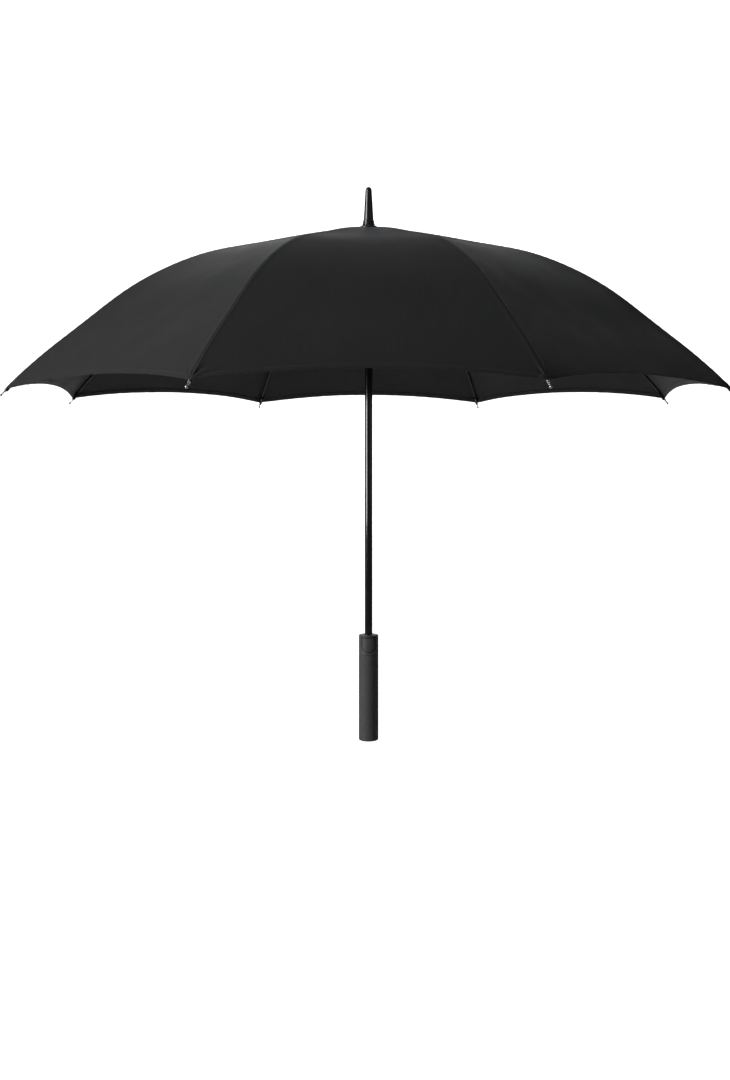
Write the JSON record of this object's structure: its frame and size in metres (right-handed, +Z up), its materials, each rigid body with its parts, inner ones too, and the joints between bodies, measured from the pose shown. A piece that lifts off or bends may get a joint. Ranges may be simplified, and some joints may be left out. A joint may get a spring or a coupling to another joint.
{
  "type": "golf umbrella",
  "caption": "Golf umbrella with a black cloth canopy over folding ribs, a straight tubular shaft, a slim cylindrical grip with a push button and a tapered ferrule; it opens and closes.",
  "frame": {"origin": "centre of the handle's bottom face, on the shaft's axis", "axes": "+Z up the shaft from the handle to the ferrule; the push button faces -Y; X across"},
  "size_m": [1.2, 1.2, 1.002],
  "materials": {
    "canopy_cloth": "plain-woven water-repellent cloth, soft satin",
    "strap_cloth": "narrow woven tape",
    "shaft_metal": "gloss black",
    "rib_fibreglass": "satin black fibreglass",
    "stretcher_metal": "satin black",
    "tip_metal": "nickel plated",
    "black_plastic": "moulded, fine satin",
    "ferrule_plastic": "satin gloss",
    "grip_rubber": "soft-touch matt",
    "button_plastic": "soft-touch matt",
    "spring_steel": "drawn wire",
    "snap_metal": "gunmetal plated"
  },
  "bodies": {
    "shaft": {"shaft_tube": "shaft_metal", "ferrule": "ferrule_plastic", "rosette": "black_plastic", "crown": "black_plastic", "handle_grip": "grip_rubber", "button_collar": "button_plastic", "opening_spring": "spring_steel", "button_spring": "spring_steel"},
    "push_button": {"push_button": "button_plastic"},
    "rib_inner_1": {"rib_inner_1": "rib_fibreglass", "canopy_panel_1": "canopy_cloth"},
    "rib_mid_1": {"rib_mid_1": "rib_fibreglass"},
    "rib_outer_1": {"rib_outer_1": "rib_fibreglass", "rib_tip_1": "tip_metal"},
    "stretcher_1": {"stretcher_1": "stretcher_metal"},
    "rib_inner_2": {"rib_inner_2": "rib_fibreglass", "canopy_panel_2": "canopy_cloth"},
    "rib_mid_2": {"rib_mid_2": "rib_fibreglass"},
    "rib_outer_2": {"rib_outer_2": "rib_fibreglass", "rib_tip_2": "tip_metal", "tie_strap": "strap_cloth", "strap_snap": "snap_metal"},
    "stretcher_2": {"stretcher_2": "stretcher_metal"},
    "rib_inner_3": {"rib_inner_3": "rib_fibreglass", "canopy_panel_3": "canopy_cloth"},
    "rib_mid_3": {"rib_mid_3": "rib_fibreglass"},
    "rib_outer_3": {"rib_outer_3": "rib_fibreglass", "rib_tip_3": "tip_metal"},
    "stretcher_3": {"stretcher_3": "stretcher_metal"},
    "rib_inner_4": {"rib_inner_4": "rib_fibreglass", "canopy_panel_4": "canopy_cloth"},
    "rib_mid_4": {"rib_mid_4": "rib_fibreglass"},
    "rib_outer_4": {"rib_outer_4": "rib_fibreglass", "rib_tip_4": "tip_metal"},
    "stretcher_4": {"stretcher_4": "stretcher_metal"},
    "rib_inner_5": {"rib_inner_5": "rib_fibreglass", "canopy_panel_5": "canopy_cloth"},
    "rib_mid_5": {"rib_mid_5": "rib_fibreglass"},
    "rib_outer_5": {"rib_outer_5": "rib_fibreglass", "rib_tip_5": "tip_metal"},
    "stretcher_5": {"stretcher_5": "stretcher_metal"},
    "rib_inner_6": {"rib_inner_6": "rib_fibreglass", "canopy_panel_6": "canopy_cloth"},
    "rib_mid_6": {"rib_mid_6": "rib_fibreglass"},
    "rib_outer_6": {"rib_outer_6": "rib_fibreglass", "rib_tip_6": "tip_metal"},
    "stretcher_6": {"stretcher_6": "stretcher_metal"},
    "rib_inner_7": {"rib_inner_7": "rib_fibreglass", "canopy_panel_7": "canopy_cloth"},
    "rib_mid_7": {"rib_mid_7": "rib_fibreglass"},
    "rib_outer_7": {"rib_outer_7": "rib_fibreglass", "rib_tip_7": "tip_metal"},
    "stretcher_7": {"stretcher_7": "stretcher_metal"},
    "rib_inner_8": {"rib_inner_8": "rib_fibreglass", "canopy_panel_8": "canopy_cloth"},
    "rib_mid_8": {"rib_mid_8": "rib_fibreglass"},
    "rib_outer_8": {"rib_outer_8": "rib_fibreglass", "rib_tip_8": "tip_metal"},
    "stretcher_8": {"stretcher_8": "stretcher_metal"},
    "runner": {"runner": "black_plastic"}
  },
  "joints": [
    {"name": "fold_1", "type": "hinge", "parent": "shaft", "child": "rib_inner_1", "pos_m": [0.01016, 0.00421, 0.921], "axis": [-0.3827, 0.9239, 0], "range_deg": [0, 75.71], "stiffness_Nm_per_rad": 1.5, "springref_deg": -148.97, "deforming": ["canopy_panel_1", "canopy_panel_2", "canopy_panel_3", "canopy_panel_4", "canopy_panel_5", "canopy_panel_6", "canopy_panel_7", "canopy_panel_8", "opening_spring"]},
    {"name": "stretch_1", "type": "hinge", "parent": "rib_inner_1", "child": "stretcher_1", "pos_m": [0.30736, 0.12731, 0.84737], "axis": [-0.3827, 0.9239, 0], "range_deg": [-151.92, 0]},
    {"name": "flex_mid_1", "type": "hinge", "parent": "rib_inner_1", "child": "rib_mid_1", "pos_m": [0.31932, 0.13226, 0.84734], "axis": [-0.3827, 0.9239, 0], "range_deg": [-17.5, 0]},
    {"name": "flex_outer_1", "type": "hinge", "parent": "rib_mid_1", "child": "rib_outer_1", "pos_m": [0.43422, 0.17986, 0.77234], "axis": [-0.3827, 0.9239, 0], "range_deg": [-10.5, 0]},
    {"name": "fold_2", "type": "hinge", "parent": "shaft", "child": "rib_inner_2", "pos_m": [0.00421, 0.01016, 0.921], "axis": [-0.9239, 0.3827, 0], "range_deg": [0, 75.71]},
    {"name": "stretch_2", "type": "hinge", "parent": "rib_inner_2", "child": "stretcher_2", "pos_m": [0.12731, 0.30736, 0.84737], "axis": [-0.9239, 0.3827, 0], "range_deg": [-151.92, 0]},
    {"name": "flex_mid_2", "type": "hinge", "parent": "rib_inner_2", "child": "rib_mid_2", "pos_m": [0.13226, 0.31932, 0.84734], "axis": [-0.9239, 0.3827, 0], "range_deg": [-17.5, 0]},
    {"name": "flex_outer_2", "type": "hinge", "parent": "rib_mid_2", "child": "rib_outer_2", "pos_m": [0.17986, 0.43422, 0.77234], "axis": [-0.9239, 0.3827, 0], "range_deg": [-10.5, 0]},
    {"name": "fold_3", "type": "hinge", "parent": "shaft", "child": "rib_inner_3", "pos_m": [-0.00421, 0.01016, 0.921], "axis": [-0.9239, -0.3827, 0], "range_deg": [0, 75.71]},
    {"name": "stretch_3", "type": "hinge", "parent": "rib_inner_3", "child": "stretcher_3", "pos_m": [-0.12731, 0.30736, 0.84737], "axis": [-0.9239, -0.3827, 0], "range_deg": [-151.92, 0]},
    {"name": "flex_mid_3", "type": "hinge", "parent": "rib_inner_3", "child": "rib_mid_3", "pos_m": [-0.13226, 0.31932, 0.84734], "axis": [-0.9239, -0.3827, 0], "range_deg": [-17.5, 0]},
    {"name": "flex_outer_3", "type": "hinge", "parent": "rib_mid_3", "child": "rib_outer_3", "pos_m": [-0.17986, 0.43422, 0.77234], "axis": [-0.9239, -0.3827, 0], "range_deg": [-10.5, 0]},
    {"name": "fold_4", "type": "hinge", "parent": "shaft", "child": "rib_inner_4", "pos_m": [-0.01016, 0.00421, 0.921], "axis": [-0.3827, -0.9239, 0], "range_deg": [0, 75.71]},
    {"name": "stretch_4", "type": "hinge", "parent": "rib_inner_4", "child": "stretcher_4", "pos_m": [-0.30736, 0.12731, 0.84737], "axis": [-0.3827, -0.9239, 0], "range_deg": [-151.92, 0]},
    {"name": "flex_mid_4", "type": "hinge", "parent": "rib_inner_4", "child": "rib_mid_4", "pos_m": [-0.31932, 0.13226, 0.84734], "axis": [-0.3827, -0.9239, 0], "range_deg": [-17.5, 0]},
    {"name": "flex_outer_4", "type": "hinge", "parent": "rib_mid_4", "child": "rib_outer_4", "pos_m": [-0.43422, 0.17986, 0.77234], "axis": [-0.3827, -0.9239, 0], "range_deg": [-10.5, 0]},
    {"name": "fold_5", "type": "hinge", "parent": "shaft", "child": "rib_inner_5", "pos_m": [-0.01016, -0.00421, 0.921], "axis": [0.3827, -0.9239, 0], "range_deg": [0, 75.71]},
    {"name": "stretch_5", "type": "hinge", "parent": "rib_inner_5", "child": "stretcher_5", "pos_m": [-0.30736, -0.12731, 0.84737], "axis": [0.3827, -0.9239, 0], "range_deg": [-151.92, 0]},
    {"name": "flex_mid_5", "type": "hinge", "parent": "rib_inner_5", "child": "rib_mid_5", "pos_m": [-0.31932, -0.13226, 0.84734], "axis": [0.3827, -0.9239, 0], "range_deg": [-17.5, 0]},
    {"name": "flex_outer_5", "type": "hinge", "parent": "rib_mid_5", "child": "rib_outer_5", "pos_m": [-0.43422, -0.17986, 0.77234], "axis": [0.3827, -0.9239, 0], "range_deg": [-10.5, 0]},
    {"name": "fold_6", "type": "hinge", "parent": "shaft", "child": "rib_inner_6", "pos_m": [-0.00421, -0.01016, 0.921], "axis": [0.9239, -0.3827, 0], "range_deg": [0, 75.71]},
    {"name": "stretch_6", "type": "hinge", "parent": "rib_inner_6", "child": "stretcher_6", "pos_m": [-0.12731, -0.30736, 0.84737], "axis": [0.9239, -0.3827, 0], "range_deg": [-151.92, 0]},
    {"name": "flex_mid_6", "type": "hinge", "parent": "rib_inner_6", "child": "rib_mid_6", "pos_m": [-0.13226, -0.31932, 0.84734], "axis": [0.9239, -0.3827, 0], "range_deg": [-17.5, 0]},
    {"name": "flex_outer_6", "type": "hinge", "parent": "rib_mid_6", "child": "rib_outer_6", "pos_m": [-0.17986, -0.43422, 0.77234], "axis": [0.9239, -0.3827, 0], "range_deg": [-10.5, 0]},
    {"name": "fold_7", "type": "hinge", "parent": "shaft", "child": "rib_inner_7", "pos_m": [0.00421, -0.01016, 0.921], "axis": [0.9239, 0.3827, 0], "range_deg": [0, 75.71]},
    {"name": "stretch_7", "type": "hinge", "parent": "rib_inner_7", "child": "stretcher_7", "pos_m": [0.12731, -0.30736, 0.84737], "axis": [0.9239, 0.3827, 0], "range_deg": [-151.92, 0]},
    {"name": "flex_mid_7", "type": "hinge", "parent": "rib_inner_7", "child": "rib_mid_7", "pos_m": [0.13226, -0.31932, 0.84734], "axis": [0.9239, 0.3827, 0], "range_deg": [-17.5, 0]},
    {"name": "flex_outer_7", "type": "hinge", "parent": "rib_mid_7", "child": "rib_outer_7", "pos_m": [0.17986, -0.43422, 0.77234], "axis": [0.9239, 0.3827, 0], "range_deg": [-10.5, 0]},
    {"name": "fold_8", "type": "hinge", "parent": "shaft", "child": "rib_inner_8", "pos_m": [0.01016, -0.00421, 0.921], "axis": [0.3827, 0.9239, 0], "range_deg": [0, 75.71]},
    {"name": "stretch_8", "type": "hinge", "parent": "rib_inner_8", "child": "stretcher_8", "pos_m": [0.30736, -0.12731, 0.84737], "axis": [0.3827, 0.9239, 0], "range_deg": [-151.92, 0]},
    {"name": "flex_mid_8", "type": "hinge", "parent": "rib_inner_8", "child": "rib_mid_8", "pos_m": [0.31932, -0.13226, 0.84734], "axis": [0.3827, 0.9239, 0], "range_deg": [-17.5, 0]},
    {"name": "flex_outer_8", "type": "hinge", "parent": "rib_mid_8", "child": "rib_outer_8", "pos_m": [0.43422, -0.17986, 0.77234], "axis": [0.3827, 0.9239, 0], "range_deg": [-10.5, 0]},
    {"name": "runner_level", "type": "hinge", "parent": "stretcher_1", "child": "runner", "pos_m": [0.01016, 0.00421, 0.77374], "axis": [-0.3827, 0.9239, 0], "range_deg": [0, 76.21]},
    {"name": "button_press", "type": "slide", "parent": "shaft", "child": "push_button", "axis": [0, 1, 0], "range_m": [0, 0.002], "stiffness_N_per_m": 600, "springref_m": -0.003, "deforming": ["button_spring"]}
  ],
  "couplings": [
    {"joint": "stretch_1", "follows": "fold_1", "ratio": -2},
    {"joint": "flex_mid_1", "follows": "fold_1", "ratio": -0.2219},
    {"joint": "flex_outer_1", "follows": "fold_1", "ratio": -0.13209},
    {"joint": "fold_2", "follows": "fold_1", "ratio": 1},
    {"joint": "stretch_2", "follows": "fold_1", "ratio": -2},
    {"joint": "flex_mid_2", "follows": "fold_1", "ratio": -0.2219},
    {"joint": "flex_outer_2", "follows": "fold_1", "ratio": -0.13209},
    {"joint": "fold_3", "follows": "fold_1", "ratio": 1},
    {"joint": "stretch_3", "follows": "fold_1", "ratio": -2},
    {"joint": "flex_mid_3", "follows": "fold_1", "ratio": -0.2219},
    {"joint": "flex_outer_3", "follows": "fold_1", "ratio": -0.13209},
    {"joint": "fold_4", "follows": "fold_1", "ratio": 1},
    {"joint": "stretch_4", "follows": "fold_1", "ratio": -2},
    {"joint": "flex_mid_4", "follows": "fold_1", "ratio": -0.2219},
    {"joint": "flex_outer_4", "follows": "fold_1", "ratio": -0.13209},
    {"joint": "fold_5", "follows": "fold_1", "ratio": 1},
    {"joint": "stretch_5", "follows": "fold_1", "ratio": -2},
    {"joint": "flex_mid_5", "follows": "fold_1", "ratio": -0.2219},
    {"joint": "flex_outer_5", "follows": "fold_1", "ratio": -0.13209},
    {"joint": "fold_6", "follows": "fold_1", "ratio": 1},
    {"joint": "stretch_6", "follows": "fold_1", "ratio": -2},
    {"joint": "flex_mid_6", "follows": "fold_1", "ratio": -0.2219},
    {"joint": "flex_outer_6", "follows": "fold_1", "ratio": -0.13209},
    {"joint": "fold_7", "follows": "fold_1", "ratio": 1},
    {"joint": "stretch_7", "follows": "fold_1", "ratio": -2},
    {"joint": "flex_mid_7", "follows": "fold_1", "ratio": -0.2219},
    {"joint": "flex_outer_7", "follows": "fold_1", "ratio": -0.13209},
    {"joint": "fold_8", "follows": "fold_1", "ratio": 1},
    {"joint": "stretch_8", "follows": "fold_1", "ratio": -2},
    {"joint": "flex_mid_8", "follows": "fold_1", "ratio": -0.2219},
    {"joint": "flex_outer_8", "follows": "fold_1", "ratio": -0.13209},
    {"joint": "runner_level", "follows": "fold_1", "ratio": 1}
  ]
}
